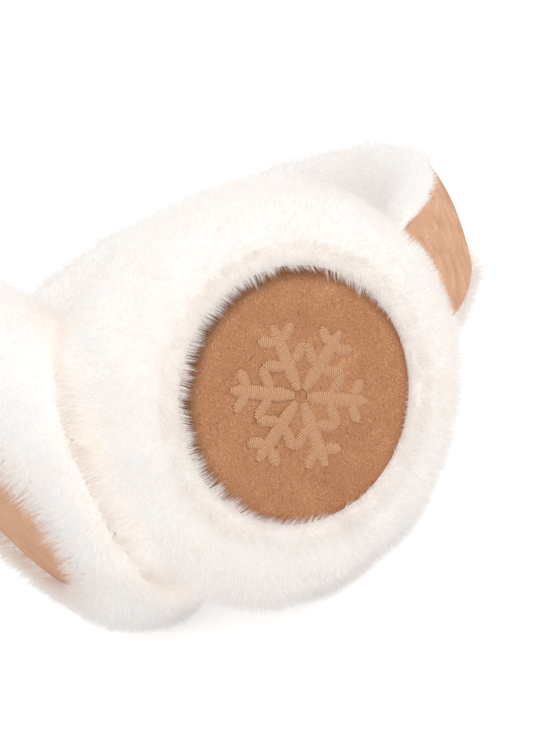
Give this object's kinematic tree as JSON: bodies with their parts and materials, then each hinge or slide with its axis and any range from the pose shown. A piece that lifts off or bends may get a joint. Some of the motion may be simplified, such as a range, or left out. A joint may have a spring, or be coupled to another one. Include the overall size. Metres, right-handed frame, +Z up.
{
  "type": "fur earmuffs",
  "caption": "Shearling ear cups with suede discs on a suede headband lined with shearling, lying on its side.",
  "frame": {"origin": "on the surface that the earmuffs lie on, under the middle of the whole", "axes": "+Z up from the surface, +X to the right cup, +Y to the crown of the headband"},
  "size_m": [0.1596, 0.2014, 0.1126],
  "materials": {
    "shearling": "deep clipped sheepskin pile, off-white",
    "disc_suede": "brushed suede, chestnut",
    "band_suede": "brushed suede, light chestnut"
  },
  "bodies": {
    "root": {"right_cup_fur": "shearling", "right_suede_disc": "disc_suede", "left_cup_fur": "shearling", "left_suede_disc": "disc_suede", "band_suede": "band_suede", "band_fur_right": "shearling", "band_fur_crown": "shearling", "band_fur_left": "shearling"}
  },
  "joints": []
}
